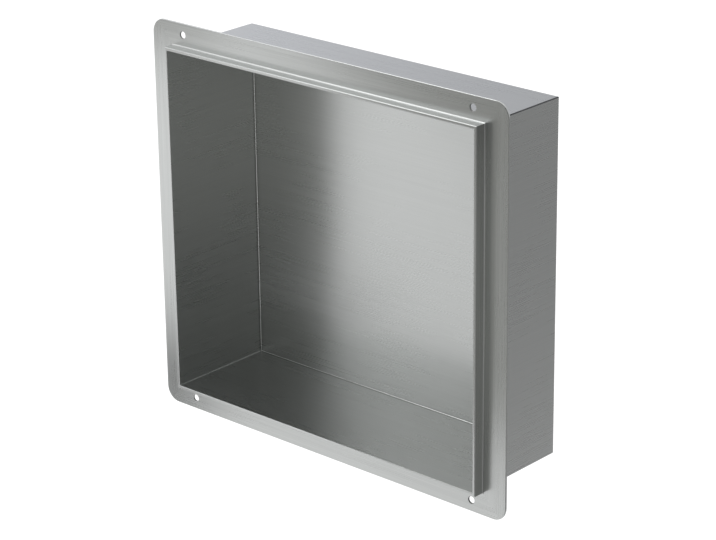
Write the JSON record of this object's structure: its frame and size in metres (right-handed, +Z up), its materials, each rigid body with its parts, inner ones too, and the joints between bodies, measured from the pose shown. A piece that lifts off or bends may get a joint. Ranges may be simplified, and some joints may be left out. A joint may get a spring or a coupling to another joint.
{
  "type": "shower niche insert",
  "caption": "Recessed stainless steel shower shelf: a folded box with a raised tile lip round its opening and a flat screw flange with rounded corners.",
  "frame": {"origin": "middle of the opening on the wall plane, where the back of the flange seats, which is also the middle of the screw holes", "axes": "+X to the right for a person facing the wall, +Y into the wall, +Z up"},
  "size_m": [0.353, 0.0962, 0.322],
  "materials": {
    "brushed_stainless": "satin brushed along each face"
  },
  "bodies": {
    "root": {"niche_insert": "brushed_stainless"}
  },
  "joints": []
}
